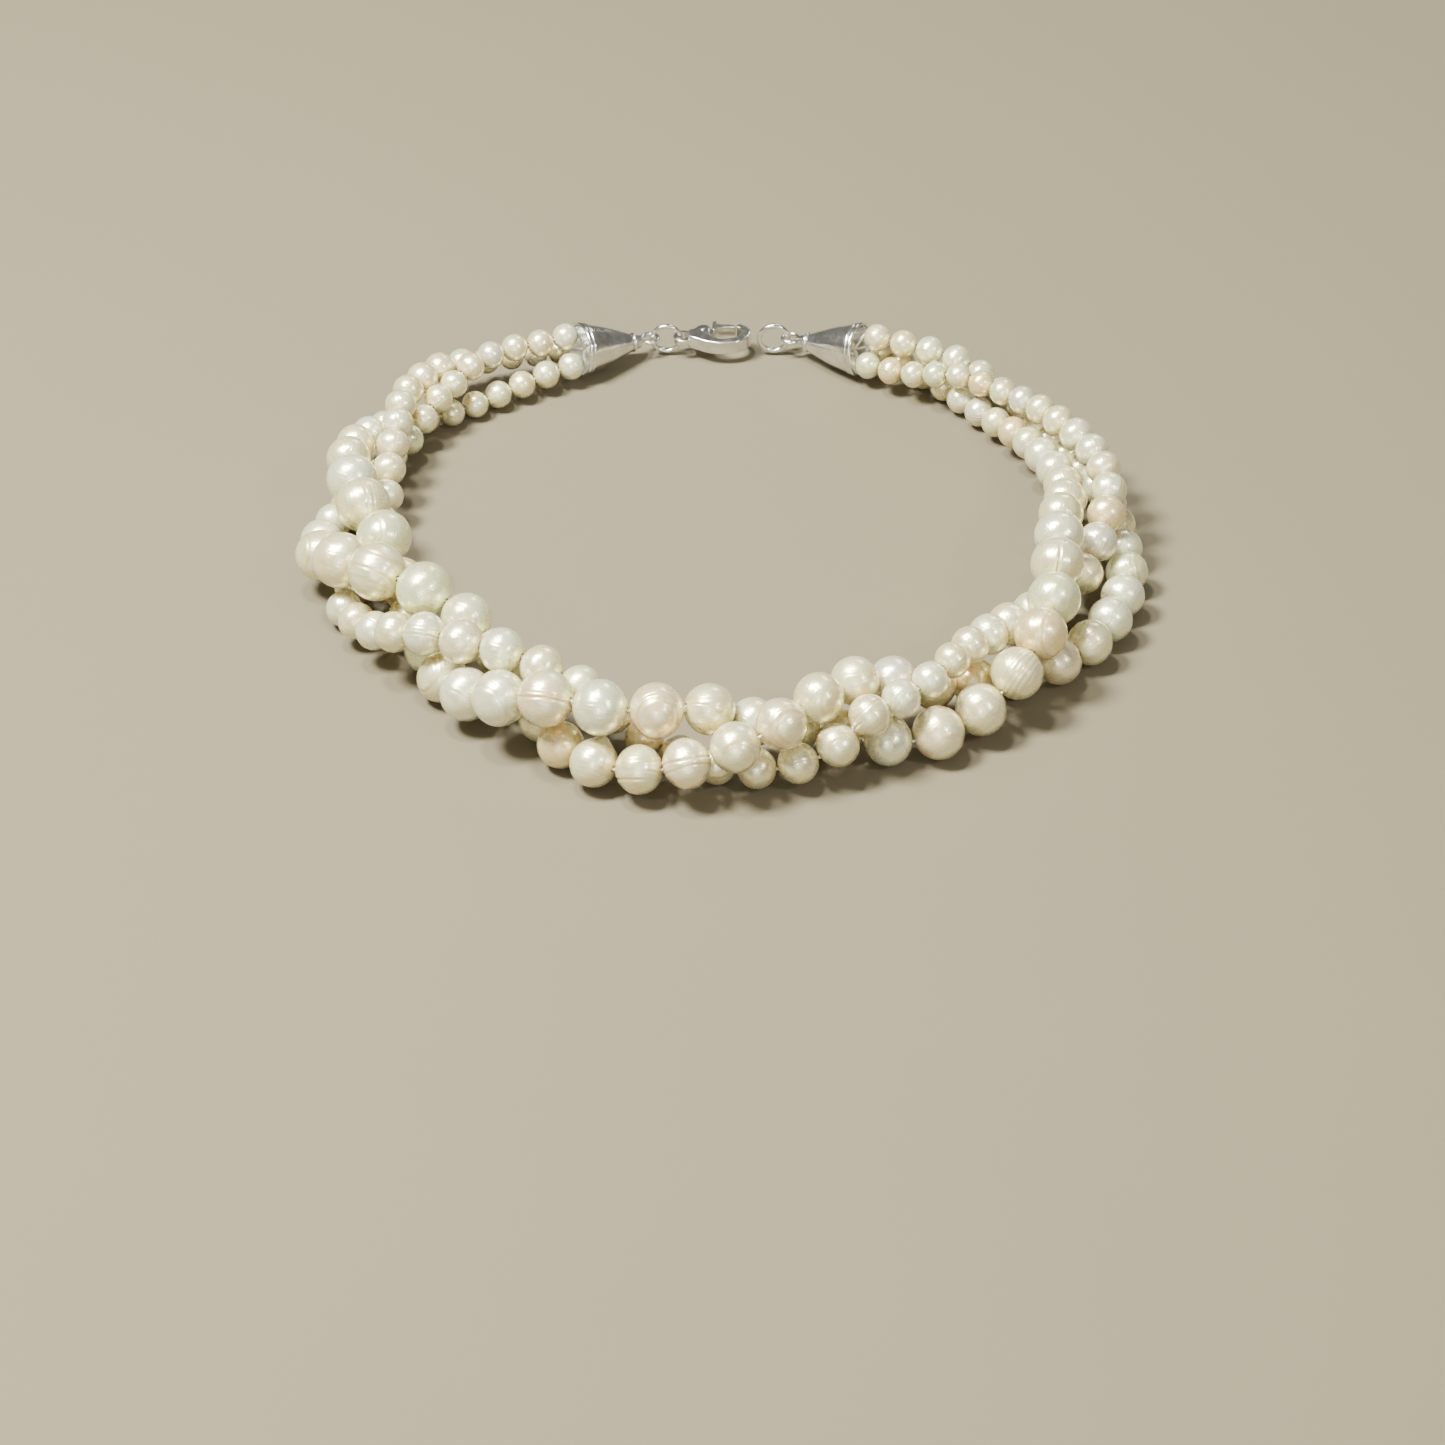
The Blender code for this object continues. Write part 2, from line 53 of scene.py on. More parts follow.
# Each strand's route: a pearl's number, then the x, y and z of its centre in mm, from the cone on
# the left, round the front, to the cone on the right. The pearls between are spaced evenly.
ROUTES = {
    "outer": [
        (0, -29.5, 71.5, 8.6), (3, -43.5, 65, 9), (5, -51, 57.5, 8), (7, -56, 48.5, 6),
        (9, -61, 38, 4), (11, -66, 28, 3.7), (13, -70.5, 17.5, 4.2), (14, -72.5, 10.5, 4.5),
        (15, -73.5, 2.5, 5.5), (16, -67.5, -4.5, 10), (18, -51.5, -18.5, 14),
        (20, -39, -31.5, 10), (22, -33.5, -44, 5), (24, -22, -57, 4.8), (26, -6.5, -60.5, 6.5),
        (28, 10, -55.5, 12.5), (30, 24.5, -45.5, 13.5), (32, 38, -37.5, 8),
        (34, 53.5, -31.5, 4.7), (36, 66, -21.5, 4.6), (38, 72, -6.5, 4.5), (40, 73, 9, 4.3),
        (42, 71.5, 22.5, 4), (44, 67, 34.5, 3.7), (46, 61.5, 44.5, 3.6), (48, 56, 53.5, 4.2),
        (50, 48.5, 61.5, 6.5), (52, 39, 67, 8.4), (54, 29.5, 71.5, 8.6),
    ],
    "middle": [
        (0, -28.4, 69.3, 4.25), (3, -42, 61, 2.8), (5, -50.5, 55, 2.6), (7, -59, 50.5, 3.5),
        (9, -65, 42, 7), (11, -68.5, 29, 10), (13, -65, 10.5, 12.5), (14, -62, 0, 12.5),
        (16, -55.5, -16, 6.5), (18, -50, -32, 4.7), (20, -37, -44.5, 8), (22, -19, -53, 13),
        (24, -0.5, -53.5, 13), (25, 8, -51.5, 9), (27, 20.5, -47, 4.4), (28, 28, -51.5, 4.4),
        (30, 44.5, -42, 5.2), (32, 55.5, -30.5, 11), (34, 60, -11, 14), (36, 62, 6.5, 13),
        (38, 63, 21, 9.5), (40, 59.5, 34.5, 7), (42, 55, 45.5, 4.8), (44, 49.5, 55, 3.2),
        (46, 42, 63.5, 2.8), (49, 30.6, 73.7, 4.25),
    ],
    "inner": [
        (0, -30.6, 73.7, 4.25), (3, -44, 69, 5.5), (5, -52.5, 62, 8), (7, -58.5, 51.5, 9.8),
        (9, -60, 40.5, 10), (11, -61, 28.5, 8), (13, -61.5, 16, 4.2), (15, -64.5, 3.5, 3.8),
        (17, -68, -9, 4.2), (19, -60.5, -20, 6), (21, -51, -29, 10.5), (23, -37, -37, 14),
        (25, -24, -44.5, 12), (27, -13, -50, 4.5), (29, -1, -56.5, 4), (31, 12.5, -57.5, 4),
        (33, 26, -50.5, 8.5), (35, 36.5, -43, 12.5), (37, 43.5, -33.5, 13), (39, 51, -21.5, 9),
        (41, 61.5, -9.5, 5.8), (43, 68.5, 3, 9.7), (45, 71, 16.5, 12), (47, 68.5, 28.5, 12),
        (49, 62.5, 40, 11), (51, 56.5, 49, 9.5), (53, 49.5, 56.5, 7.5), (55, 42, 62.5, 6),
        (58, 28.4, 69.3, 4.25),
    ],
}
STRANDS = list(ROUTES)

# The last pearl of each strand before every joint of the rope, from left to right.
CUTS = [
    (5, 5, 5), (10, 10, 10), (14, 13, 14), (17, 16, 19), (21, 19, 23), (24, 22, 26),
    (28, 25, 30), (31, 29, 35), (35, 32, 39), (38, 35, 42), (42, 38, 46), (47, 42, 51),
]
LINKS = len(CUTS) + 1
FRONT = 6  # the link in the middle of the front, which carries both halves

PEARL_GAP = 0.15  # mm between neighbours on one thread
STRAND_GAP = 0.3  # mm between pearls of different strands
GIRTH = 1.05  # a pearl's width over its length along the thread
HOLE_R = 0.5  # drill hole
THREAD_R = 0.27
THREAD_IN = 0.7  # mm that a thread's end reaches into its cone
THREAD_APART = 0.9  # and how far from the cone's line it ends
HOME_ROUNDS = 0.7  # share of the rounds that also draw each pearl to its route
HOME_PULL = 0.04
CROWD_PUSH = 0.35
THREAD_PULL = 0.4

# Findings, in mm, as in the solids that they stand for.
CONE_LENGTH = 13.0
CONE_MOUTH_R = 5.2
CONE_TIP_R = 1.25
CONE_WALL = 0.5
CONE_HOLE_R = 0.75
ROPE_END = (29.5, 71.5, 5.7)  # middle of the three last pearls, at the right; the left mirrors it
CONE_GAP = 2.9  # from that middle to the mouth of the cone
CONE_DIR = (-0.885, 0.443, -0.14)
WIRE_R = 0.45
EYE_R = 1.55  # middle of the wire, as in every ring radius here
EYE_CLEAR = 0.6
HOOK_AT = 5.6
HOOK_R = 0.9
SHANK = (7.5, 9.5, 11.5, CONE_LENGTH)
KNOT_AT = 2.3
KNOT_R = 1.3
KNOT_HALF = 1.1
KNOT_THREAD_R = 0.36
RING_R = 2.75
RING_WIRE_R = 0.5
RING_PLAY = 0.15  # between two wires that hang in each other
RING_STEPS = 120
RING_CUT = 0.8  # degrees from the top to each end of the split ring
SEAM_RISE = 0.06  # of the solder, and how far round it reaches
SEAM_REACH = 0.05
CHAIN_Z = 3.5  # the findings lie on this level
CLASP_THICK = 2.8
CLASP_TAIL = (0.5, 2.0, 0.7, 1.15)  # its middle past the jump ring, radius, half thickness, hole
CLASP_EDGE = 0.45  # rounding of the claw, and of its tail eye
TAIL_EDGE = 0.35
CLASP_SLOT = [(2.3, -0.45), (6, -0.45), (6, 4), (2.3, 4)]
CLASP_SLOT_HALF = 0.85
CLASP_PIN_R = 0.4
CLASP_PIN_HOLE_R = 0.6
LEVER_HALF = 1.1
LEVER_EDGE = 0.3
LEVER_PIN = (3.7, 1.2)
LEVER_BORE_R = 0.65
LEVER_HEAD_Z = (-0.6, 0.2)
SPRING_R = 0.8
SPRING_WIRE_R = 0.1
SPRING_Z = 0.41  # its lowest turn
SPRING_HEIGHT = 0.315
CUTTER_HALF = 3  # half the length of a tool that cuts right through


# ---- Layout of the pearls ------------------------------------------------------------------


def strung(route):
    """The centres of all pearls of a strand: a smooth curve read at each pearl's number."""
    number = np.array([p[0] for p in route], float)
    place = np.array([p[1:] for p in route], float)
    slope = np.gradient(place, number, axis=0)
    at = np.arange(number[0], number[-1] + 1)
    i = np.clip(np.searchsorted(number, at, side="right") - 1, 0, len(number) - 2)
    width = (number[i + 1] - number[i])[:, None]
    t = (at - number[i])[:, None] / width
    return (
        (1 + 2 * t) * (1 - t) ** 2 * place[i]
        + t * (1 - t) ** 2 * width * slope[i]
        + t * t * (3 - 2 * t) * place[i + 1]
        + t * t * (t - 1) * width * slope[i + 1]
    )


def pearl_sizes(centres):
    """Each pearl's length on the thread, from the room it has, evened out along the strand."""
    step = np.linalg.norm(np.diff(centres, axis=0), axis=1)
    size = np.concatenate([step[:1], (step[:-1] + step[1:]) / 2, step[-1:]])
    for _ in range(2):
        padded = np.concatenate([size[:1], size, size[-1:]])
        size = (padded[:-2] + 2 * padded[1:-1] + padded[2:]) / 4
    return size - PEARL_GAP


def settle(home, size, strand, rounds=300):
    """Moves the pearls until none overlap, each touches its neighbours and none is under z = 0."""
    centre = home.copy()
    first = np.flatnonzero(strand[1:] == strand[:-1])
    length = (size[first] + size[first + 1]) / 2 + PEARL_GAP
    room = GIRTH * (size[:, None] + size[None]) / 2 + STRAND_GAP
    room[strand[:, None] == strand[None]] = 0
    for turn in range(rounds):
        if turn < HOME_ROUNDS * rounds:
            centre += HOME_PULL * (home - centre)
        apart = centre[:, None] - centre[None]
        distance = np.linalg.norm(apart, axis=2) + np.eye(len(centre))
        push = CROWD_PUSH * np.maximum(room - distance, 0) / distance
        centre += (apart * push[:, :, None]).sum(1)
        for _ in range(3):
            span = centre[first + 1] - centre[first]
            now = np.linalg.norm(span, axis=1)
            pull = THREAD_PULL * span * ((now - length) / now)[:, None]
            centre[first] += pull
            centre[first + 1] -= pull
        centre[:, 2] = np.maximum(centre[:, 2], GIRTH * size / 2)
    return centre


def lay_out():
    """{strand: (centres, lengths)} of all pearls, in mm."""
    homes = [strung(route) for route in ROUTES.values()]
    sizes = [pearl_sizes(home) for home in homes]
    strand = np.repeat(np.arange(len(homes)), [len(home) for home in homes])
    centre = settle(np.vstack(homes), np.concatenate(sizes), strand)
    return {
        name: (centre[strand == i] + SHIFT, sizes[i]) for i, name in enumerate(STRANDS)
    }


def directions(centre):
    """The way the thread runs through each pearl."""
    along = np.gradient(centre, axis=0)
    return along / np.linalg.norm(along, axis=1)[:, None]


# ---- Nodes ---------------------------------------------------------------------------------


class Nodes:
    """Short calls that add and join shader nodes."""

    def __init__(self, name):
        self.material = bpy.data.materials.new(name)
        self.material.use_nodes = True
        self.tree = self.material.node_tree
        self.shader = self.tree.nodes["Principled BSDF"]

    def add(self, kind, **settings):
        made = self.tree.nodes.new(kind)
        for key, value in settings.items():
            setattr(made, key, value)
        return made

    def put(self, socket, value):
        if isinstance(value, bpy.types.NodeSocket):
            self.tree.links.new(value, socket)
        else:
            socket.default_value = value

    def fixed(self, **values):
        for key, value in values.items():
            self.shader.inputs[key.replace("_", " ")].default_value = value

    def place(self, scale, offset=(0, 0, 0)):
        """Object coordinates in mm, stretched and moved."""
        coords = self.add("ShaderNodeTexCoord").outputs["Object"]
        made = self.add("ShaderNodeMapping")
        self.put(made.inputs["Vector"], coords)
        self.put(made.inputs["Scale"], [s / MM for s in scale])
        self.put(made.inputs["Location"], offset)
        return made.outputs["Vector"]

    def noise(self, place, scale, detail=3.0, roughness=0.55, distortion=0.0):
        made = self.add("ShaderNodeTexNoise")
        self.put(made.inputs["Vector"], place)
        self.put(made.inputs["Scale"], scale)
        self.put(made.inputs["Detail"], detail)
        self.put(made.inputs["Roughness"], roughness)
        self.put(made.inputs["Distortion"], distortion)
        return made.outputs["Fac"]

    def ramp(self, value, low, high, out_low=0.0, out_high=1.0):
        made = self.add("ShaderNodeMapRange", interpolation_type="SMOOTHSTEP")
        for key, given in zip(
            ("Value", "From Min", "From Max", "To Min", "To Max"),
            (value, low, high, out_low, out_high),
        ):
            self.put(made.inputs[key], given)
        return made.outputs["Result"]

    def mix(self, share, a, b, blend="MIX"):
        made = self.add("ShaderNodeMix", data_type="RGBA", blend_type=blend)
        self.put(made.inputs["Factor"], share)
        for socket, value in ((made.inputs["A"], a), (made.inputs["B"], b)):
            self.put(socket, value)
        return made.outputs["Result"]

    def maths(self, operation, a, b):
        made = self.add("ShaderNodeMath", operation=operation)
        self.put(made.inputs[0], a)
        self.put(made.inputs[1], b)
        return made.outputs[0]

    def bump(self, height, depth, below=None):
        made = self.add("ShaderNodeBump")
        self.put(made.inputs["Height"], height)
        self.put(made.inputs["Distance"], depth * MM)
        if below is not None:
            self.put(made.inputs["Normal"], below)
        return made.outputs["Normal"]


# ---- Materials -----------------------------------------------------------------------------

# Each tone of nacre: the body's colour, that of its cloudy patches and that of its bands.
TONES = {
    "cream": ((0.76, 0.70, 0.41), (0.79, 0.61, 0.29), (0.82, 0.80, 0.54)),
    "white": ((0.78, 0.76, 0.51), (0.78, 0.68, 0.39), (0.84, 0.85, 0.66)),
    "green": ((0.73, 0.73, 0.43), (0.73, 0.65, 0.32), (0.79, 0.82, 0.56)),
    "pink": ((0.79, 0.69, 0.42), (0.82, 0.58, 0.31), (0.84, 0.80, 0.56)),
    "lilac": ((0.73, 0.67, 0.51), (0.71, 0.60, 0.40), (0.78, 0.75, 0.61)),
    "gold": ((0.79, 0.64, 0.32), (0.76, 0.53, 0.22), (0.83, 0.74, 0.46)),
}
# Painted shade: colour on groove floors and drill-hole walls is multiplied by this darker, warmer
# tint
GROOVE_PAINTED_SHADE = (0.78, 0.64, 0.44, 1.0)
GROOVE_SHADE_SHARE = 0.6  # how much of that tint, a painted shade, a groove's floor takes, and how much rougher it is
GROOVE_ROUGH = 0.10
NACRE_SMOOTH = (0.30, 0.08)  # roughness of the smooth patches, and what full gloss takes off
NACRE_ROUGH = (0.40, 0.12)  # the same for the rough patches
LINE_DEPTH = 0.09  # mm, of the growth lines and of the grain
GRAIN_DEPTH = 0.03


def nacre(name, tone, rng, gloss):
    """Layered nacre: clouds and bands of colour, growth lines and a clear gloss over a soft one."""
    made = Nodes(name)
    body, patch, band = ((*colour, 1.0) for colour in TONES[tone])
    place = made.place((1, 1, 1), rng.uniform(0, 90, 3))
    along_bands = made.place((2.6, 0.5, 0.5), rng.uniform(0, 90, 3))
    groove = made.add("ShaderNodeAttribute", attribute_name="groove").outputs["Fac"]
    clouds = made.noise(place, 0.24, 2.0)
    bands = made.noise(along_bands, 0.55, 4.0, distortion=0.3)
    grain = made.noise(place, 0.9, 3.0)
    colour = made.mix(made.ramp(clouds, 0.40, 0.66, 0.0, 0.75), body, patch)
    colour = made.mix(made.ramp(bands, 0.42, 0.68, 0.0, 0.6), colour, band)
    # Painted shade: darker and warmer where the skin lies deep in a groove and on the drill hole's
    # walls
    colour = made.mix(made.maths("MULTIPLY", groove, GROOVE_SHADE_SHARE), colour, GROOVE_PAINTED_SHADE, "MULTIPLY")
    made.put(made.shader.inputs["Base Color"], colour)
    smooth, coarse = (dull - less * gloss for dull, less in (NACRE_SMOOTH, NACRE_ROUGH))
    rough = made.ramp(grain, 0.3, 0.7, smooth, coarse)
    rough = made.maths("ADD", rough, made.maths("MULTIPLY", groove, GROOVE_ROUGH))
    made.put(made.shader.inputs["Roughness"], rough)
    along_lines = made.place((4.0, 0.8, 0.8), rng.uniform(0, 90, 3))
    lines = made.noise(along_lines, 0.5, 4.0, distortion=0.4)
    skin = made.bump(lines, LINE_DEPTH)
    skin = made.bump(grain, GRAIN_DEPTH, skin)
    made.put(made.shader.inputs["Normal"], skin)
    made.fixed(
        Metallic=0.5,
        IOR=2.0,
        Coat_Weight=0.4 + 0.6 * gloss,
        Coat_Roughness=0.12,
        Coat_IOR=1.6,
        Subsurface_Weight=0.2,
        Subsurface_Radius=(1.0, 0.66, 0.35),
        Subsurface_Scale=1.4 * MM,
    )
    return made.material


def silk():
    """Twisted silk thread: the plies run round it in fine ridges."""
    made = Nodes("silk_thread")
    wave = made.add("ShaderNodeTexWave", bands_direction="DIAGONAL")
    made.put(wave.inputs["Vector"], made.place((1, 1, 1)))
    made.put(wave.inputs["Scale"], 1.6)
    made.put(wave.inputs["Distortion"], 1.5)
    # Painted shade: the troughs between the plies, where the bump is low, are tinted darker
    tint = made.mix(wave.outputs["Fac"], (0.70, 0.65, 0.53, 1), (0.88, 0.85, 0.76, 1))
    made.put(made.shader.inputs["Base Color"], tint)
    made.put(made.shader.inputs["Roughness"], made.ramp(wave.outputs["Fac"], 0, 1, 0.75, 0.5))
    made.put(made.shader.inputs["Normal"], made.bump(wave.outputs["Fac"], 0.03))
    made.fixed(Sheen_Weight=0.4, Sheen_Roughness=0.4)
    return made.material


def polished_silver():
    """Silver with a cloudy polish, fine wheel marks and a breath of tarnish."""
    made = Nodes("polished_silver")
    marks = made.noise(made.place((1.2, 1.2, 9.0)), 1.1, 4.0)
    clouds = made.noise(made.place((1, 1, 1)), 0.35, 3.0)
    tarnish = made.ramp(clouds, 0.38, 0.62)
    tint = made.mix(tarnish, (0.74, 0.72, 0.67, 1), (0.90, 0.89, 0.87, 1))
    made.put(made.shader.inputs["Base Color"], tint)
    made.put(made.shader.inputs["Roughness"], made.ramp(marks, 0.3, 0.7, 0.13, 0.27))
    made.put(made.shader.inputs["Normal"], made.bump(marks, 0.008))
    made.fixed(Metallic=1.0)
    return made.material


# ---- Meshes --------------------------------------------------------------------------------


def mesh_piece(name, points, faces, paint, at=(0, 0, 0), axes=None):
    """A smooth mesh. Its points are in mm, in its own axes, round its own middle."""
    mesh = bpy.data.meshes.new(name)
    mesh.from_pydata(np.asarray(points) * MM, [], faces)
    mesh.shade_smooth()
    mesh.materials.append(paint)
    made = bpy.data.objects.new(name, mesh)
    bpy.context.scene.collection.objects.link(made)
    if axes is not None:
        rows = [(*row, at[k] * MM) for k, row in enumerate(axes)]
        made.matrix_world = Matrix([*rows, (0, 0, 0, 1)])
    return made


def grid_faces(rings, sides, closed):
    """Quads over closed rings of points. With closed, the last ring is joined to the first."""
    k = np.arange(rings if closed else rings - 1)[:, None]
    i = np.arange(sides)[None]
    j = (i + 1) % sides
    n = (k + 1) % rings
    return np.stack([k * sides + i, n * sides + i, n * sides + j, k * sides + j], 2).reshape(-1, 4)


def waves(rng, count, low, high):
    """A smooth random field over space, between about -1 and 1."""
    way = rng.normal(size=(count, 3))
    way *= (rng.uniform(low, high, count) / np.linalg.norm(way, axis=1))[:, None]
    phase = rng.uniform(0, 2 * np.pi, count)
    return lambda p: np.sin(p @ way.T + phase).sum(1) / math.sqrt(count)


def swell(x, low, high):
    t = np.clip((x - low) / (high - low), 0, 1)
    return t * t * (3 - 2 * t)


# ---- Pearls --------------------------------------------------------------------------------

VIEWED = np.array([0.0, -0.8, 0.6])  # the way from the necklace to the camera

# How a skin departs from a sphere, as shares of the radius.
LUMP_HEIGHT = 0.014
CREASE_HEIGHT = 0.0022
GROOVE_SWAY = (0.028, 0.010)  # how far a groove wanders, in two waves round and in five
GROOVE_END = (-0.9, -0.2)  # cosines of the turn where it fades out
GROOVE_LIP = 0.55  # height of the swollen edges, as a share of its depth
GROOVE_FULL = 0.018  # depth that takes the whole painted shade
PITS = 3
PIT_DEPTH = (0.002, 0.008)
PIT_SPREAD = 0.012
PEAK_SPREAD = 0.045

OUT_OF_ROUND = (0.965, 1.0)
HOLE_LIP = 0.14  # mm of rounded edge round a drill hole
HOLE_RIMS = [(HOLE_R + 0.05, 0.05), (HOLE_R, 0.16), (HOLE_R, 1.2)]  # radius and depth, inward


def pearl_skin(unit, grooves, peak, rng):
    """The skin's distance from the middle in each direction, and how deep in a groove it is."""
    lumps = waves(rng, 5, 1.2, 3.2)
    creases = waves(rng, 18, 7, 15)
    skin = 1 + LUMP_HEIGHT * lumps(unit) + CREASE_HEIGHT * creases(unit)
    deep = np.zeros(len(unit))
    around = np.arctan2(unit[:, 2], unit[:, 1])
    for offset, depth, width in grooves:
        phase = rng.uniform(0, 2 * np.pi, 3)
        sway = GROOVE_SWAY[0] * np.sin(2 * around + phase[0])
        sway = sway + GROOVE_SWAY[1] * np.sin(5 * around + phase[1])
        t = (unit[:, 0] - offset - sway) / width
        reach = swell(np.cos(around - phase[2]), *GROOVE_END)
        cut = reach * np.exp(-t * t / 2)
        lip = reach * np.exp(-t * t / 11)
        skin -= depth * (cut - GROOVE_LIP * lip)
        deep += cut * min(depth / GROOVE_FULL, 1.6)
    for _ in range(PITS):
        spot = rng.normal(size=3)
        spot /= np.linalg.norm(spot)
        near = np.exp((unit @ spot - 1) / PIT_SPREAD)
        skin -= rng.uniform(*PIT_DEPTH) * near
    skin += peak * np.exp(-(unit[:, 0] + 1) / PEAK_SPREAD)
    return skin, np.clip(deep, 0, 1)


def add_pearl(name, at, along, size, look, rng):
    """One pearl on its own axes: X through the middle of its rings, Z along the drill hole."""
    sides, steps = look["mesh"]
    half = size / 2
    lip = math.asin((HOLE_R + HOLE_LIP) / half)
    bend = np.linspace(lip, math.pi - lip, steps)[:, None]
    turn = (2 * np.pi * np.arange(sides) / sides)[None]
    unit = np.stack(
        [np.sin(bend) * np.cos(turn), np.sin(bend) * np.sin(turn), np.cos(bend) + 0 * turn], 2
    ).reshape(-1, 3)
    skin, deep = pearl_skin(unit, look["grooves"], look["peak"], rng)
    girth = GIRTH * half * rng.uniform(*OUT_OF_ROUND, 2)
    outer = (unit * skin[:, None] * [girth[0], girth[1], half]).reshape(steps, sides, 3)
    hole = [np.cos(turn[0]), np.sin(turn[0])]
    wall = []
    for edge, way in ((outer[-1], -1), (outer[0], 1)):
        mouth = edge[:, 2]
        for radius, depth in HOLE_RIMS if way < 0 else HOLE_RIMS[::-1]:
            wall.append(np.stack([radius * hole[0], radius * hole[1], mouth - way * depth], 1))
    points = np.concatenate([outer, np.array(wall)]).reshape(-1, 3)

    side = np.cross(along, VIEWED)
    side /= np.linalg.norm(side)
    out = np.cross(side, along)
    tilt = math.radians(look["turn"])
    x = math.cos(tilt) * side + math.sin(tilt) * out
    axes = np.stack([x, np.cross(along, x), along], 1)
    paint = nacre(f"nacre_{name}", look["tone"], rng, look["gloss"])
    faces = grid_faces(steps + len(wall), sides, True)
    made = mesh_piece(name, points, faces, paint, at, axes)
    groove = made.data.attributes.new("groove", "FLOAT", "POINT")
    # The drill hole's walls count as fully in a groove: they take the whole painted shade and the
    # extra roughness
    groove.data.foreach_set("value", np.concatenate([deep, np.ones(len(wall) * sides)]))
    return made


# What the front pearls look like, by strand and number: tone, gloss from 0 to 1, the turn of
# the rings in degrees (0 edge on, 90 face on) and the grooves' offset, depth and width.
FINE, PLAIN, DEEP = (0.013, 0.034), (0.024, 0.038), (0.045, 0.044)
CLEFT, WAIST = (0.05, 0.045), (0.07, 0.13)
LOOKS = {
    ("outer", 15): ("cream", 0.6, 50, [(0.62, PLAIN), (0.30, FINE)]),
    ("outer", 16): ("cream", 0.6, 0, []),
    ("outer", 17): ("cream", 0.6, 10, [(-0.45, PLAIN), (-0.1, FINE), (0.18, PLAIN), (0.5, FINE)]),
    ("outer", 18): ("green", 0.7, 0, []),
    ("outer", 19): ("white", 0.9, 60, [(0.7, FINE)]),
    ("outer", 23): ("gold", 0.4, 20, [(0.2, FINE)]),
    ("outer", 24): ("cream", 0.5, 8, [(-0.80, FINE)]),
    ("outer", 25): ("cream", 0.6, 5, [(-0.35, PLAIN), (0.1, FINE), (0.42, DEEP)]),
    ("outer", 26): ("pink", 0.8, 8, [(-0.05, DEEP), (0.25, PLAIN)]),
    ("outer", 27): ("cream", 0.7, 60, [(0.8, FINE)]),
    ("outer", 28): ("pink", 0.8, 70, [(0.80, PLAIN), (0.62, FINE)]),
    ("outer", 29): ("cream", 0.8, 60, [(0.78, FINE)]),
    ("outer", 30): ("cream", 0.2, 0, []),
    ("outer", 31): ("lilac", 0.8, 0, []),
    ("outer", 33): ("gold", 0.5, 0, []),
    ("outer", 35): ("pink", 0.5, 20, [(0.28, WAIST), (-0.5, FINE)]),
    ("outer", 36): ("cream", 0.6, 0, []),
    ("outer", 37): ("white", 0.7, 10, [(0.1, FINE)]),
    ("outer", 38): ("white", 0.6, 0, []),
    ("middle", 13): ("cream", 0.7, 30, [(0.1, FINE), (-0.2, FINE)]),
    ("middle", 14): ("green", 0.8, 60, [(0.75, PLAIN)]),
    ("middle", 18): ("cream", 0.6, 60, [(0.7, PLAIN)]),
    ("middle", 19): ("white", 0.5, 10, [(-0.1, FINE), (0.2, FINE)]),
    ("middle", 20): ("white", 0.6, 60, [(0.6, FINE)]),
    ("middle", 21): ("pink", 0.6, 5, [(0.1, DEEP), (-0.1, PLAIN)]),
    ("middle", 22): ("white", 1.0, 0, []),
    ("middle", 23): ("pink", 0.6, 65, [(0.85, PLAIN), (0.66, PLAIN), (0.45, FINE)]),
    ("middle", 24): ("cream", 0.7, 5, [(-0.25, PLAIN), (-0.40, FINE), (-0.05, FINE)]),
    ("middle", 29): ("pink", 0.5, 20, []),
    ("middle", 30): ("cream", 0.8, 15, [(0.12, FINE)]),
    ("middle", 31): ("cream", 0.5, 10, [(k / 5, FINE) for k in range(-3, 4)]),
    ("middle", 32): ("gold", 0.7, 40, [(0.5, FINE)]),
    ("middle", 33): ("green", 0.7, 0, []),
    ("middle", 34): ("cream", 0.7, 3, [(0.0, DEEP), (0.16, PLAIN)]),
    ("middle", 35): ("white", 1.0, 50, [(-0.72, PLAIN)]),
    ("middle", 36): ("cream", 1.0, 0, []),
    ("middle", 37): ("cream", 1.0, 0, []),
    ("inner", 21): ("white", 0.6, 5, [(0.15, PLAIN), (-0.2, PLAIN)]),
    ("inner", 22): ("pink", 0.8, 0, []),
    ("inner", 23): ("white", 0.6, 30, [(0.3, FINE)]),
    ("inner", 24): ("cream", 0.9, 0, []),
    ("inner", 25): ("green", 0.3, 0, []),
    ("inner", 27): ("gold", 0.4, 0, []),
    ("inner", 30): ("cream", 0.6, 35, [(-0.6, PLAIN), (-0.35, FINE)]),
    ("inner", 31): ("cream", 0.7, 10, [(0.1, FINE)]),
    ("inner", 32): ("cream", 0.7, 60, [(0.5, PLAIN), (0.75, FINE)]),
    ("inner", 33): ("cream", 0.7, 5, [(0.12, CLEFT), (-0.25, PLAIN)]),
    ("inner", 34): ("white", 0.5, 30, [(k / 4, FINE) for k in range(-2, 3)]),
    ("inner", 35): ("white", 0.2, 0, []),
    ("inner", 36): ("cream", 0.6, 20, [(0.35, PLAIN), (0.6, FINE)]),
}
PEAKS = {("outer", 24): 0.20}  # a drop-shaped pearl, with the height of its tip

TONE_SHARES = [0.46, 0.22, 0.10, 0.11, 0.05, 0.06]  # of the pearls that LOOKS leaves out
GROOVE_SHARES = [0.48, 0.20, 0.16, 0.10, 0.06]  # of those with 0, 1, 2, 3 and 4 grooves

# Points of a pearl's mesh, round the thread and along it, without grooves and with them.
MESH_SIZES = (72, 38), (108, 46)
FRONT_MESH_SIZES = (88, 44), (168, 70)


